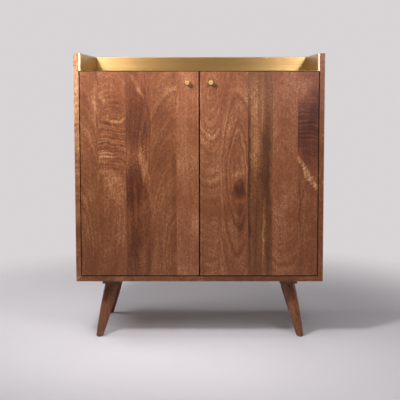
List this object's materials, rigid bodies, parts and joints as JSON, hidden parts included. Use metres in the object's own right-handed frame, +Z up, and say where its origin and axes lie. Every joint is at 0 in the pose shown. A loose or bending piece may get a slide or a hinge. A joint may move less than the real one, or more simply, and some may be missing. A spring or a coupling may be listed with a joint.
{
  "type": "bar cabinet",
  "caption": "Bar cabinet: doors under a brass-lined tray, with a fold-out shelf, bottle rack and glass rails inside, on splayed turned legs.",
  "frame": {"origin": "on the floor, under the middle of the whole cabinet's box, knobs included", "axes": "+X to the viewer's right when facing the doors, +Y to the back, +Z up"},
  "size_m": [0.9, 0.471, 1.048],
  "materials": {
    "case_wood": "oiled mid-brown hardwood boards",
    "door_wood": "oiled hardwood staves of uneven width and figure",
    "leg_wood": "turned hardwood, oiled",
    "joinery_wood": "bare pale hardwood",
    "tray_brass": "finely brushed brass-coloured sheet",
    "knob_brass": "satin turned brass",
    "hardware_brass": "satin brass",
    "hinge_steel": "nickel plated",
    "magnet": "ground face",
    "dark_plastic": "fine matt moulding"
  },
  "bodies": {
    "cabinet": {"back_panel": "case_wood", "back_panel_screws": "hinge_steel", "back_rail": "case_wood", "bottom_board": "case_wood", "case_dowels": "joinery_wood", "catch_housings": "dark_plastic", "catch_magnets": "magnet", "catch_screws": "hinge_steel", "centre_divider": "case_wood", "cleat_screws": "hinge_steel", "fixed_shelf": "case_wood", "fixed_shelf_screws": "hardware_brass", "hanger_lips": "case_wood", "hanger_screws": "hinge_steel", "hanger_stems": "case_wood", "hinge_arms": "hinge_steel", "hinge_plate_screws": "hinge_steel", "hinge_plates": "hinge_steel", "inner_shelf": "case_wood", "leaf_cleats": "case_wood", "leg_bolts": "hinge_steel", "leg_front_left": "leg_wood", "leg_front_right": "leg_wood", "leg_glides": "dark_plastic", "leg_inserts": "hardware_brass", "leg_rail_left": "leg_wood", "leg_rail_right": "leg_wood", "leg_rail_screws": "hinge_steel", "leg_rear_left": "leg_wood", "leg_rear_right": "leg_wood", "mitre_splines": "joinery_wood", "rack_shelves": "case_wood", "rack_uprights": "case_wood", "shelf_hinge_fixed_plates": "hardware_brass", "shelf_hinge_pins": "hardware_brass", "shelf_pegs": "hinge_steel", "side_board_left": "case_wood", "side_board_right": "case_wood", "top_board": "case_wood", "tray_cores": "joinery_wood", "tray_floor": "tray_brass", "tray_lining_back": "tray_brass", "tray_lining_left": "tray_brass", "tray_lining_right": "tray_brass"},
    "left_door": {"door_left": "door_wood", "hinge_cups_left": "hinge_steel", "hinge_pins_left": "hinge_steel", "door_screws_left": "hinge_steel", "knob_left": "knob_brass", "strike_plate_left": "hinge_steel"},
    "right_door": {"door_right": "door_wood", "hinge_cups_right": "hinge_steel", "hinge_pins_right": "hinge_steel", "door_screws_right": "hinge_steel", "knob_right": "knob_brass", "strike_plate_right": "hinge_steel"},
    "folding_leaf": {"shelf_leaf": "case_wood", "shelf_hinge_leaf_plates": "hardware_brass", "shelf_leaf_screws": "hardware_brass"}
  },
  "joints": [
    {"name": "left_door_hinge", "type": "hinge", "parent": "cabinet", "child": "left_door", "pos_m": [-0.406, -0.2033, 0.242], "axis": [0, 0, -1], "range_deg": [0, 100]},
    {"name": "right_door_hinge", "type": "hinge", "parent": "cabinet", "child": "right_door", "pos_m": [0.406, -0.2033, 0.242], "axis": [0, 0, 1], "range_deg": [0, 100]},
    {"name": "shelf_fold", "type": "hinge", "parent": "cabinet", "child": "folding_leaf", "pos_m": [0, 0.01999, 0.6002], "axis": [1, 0, 0], "range_deg": [0, 180]}
  ]
}
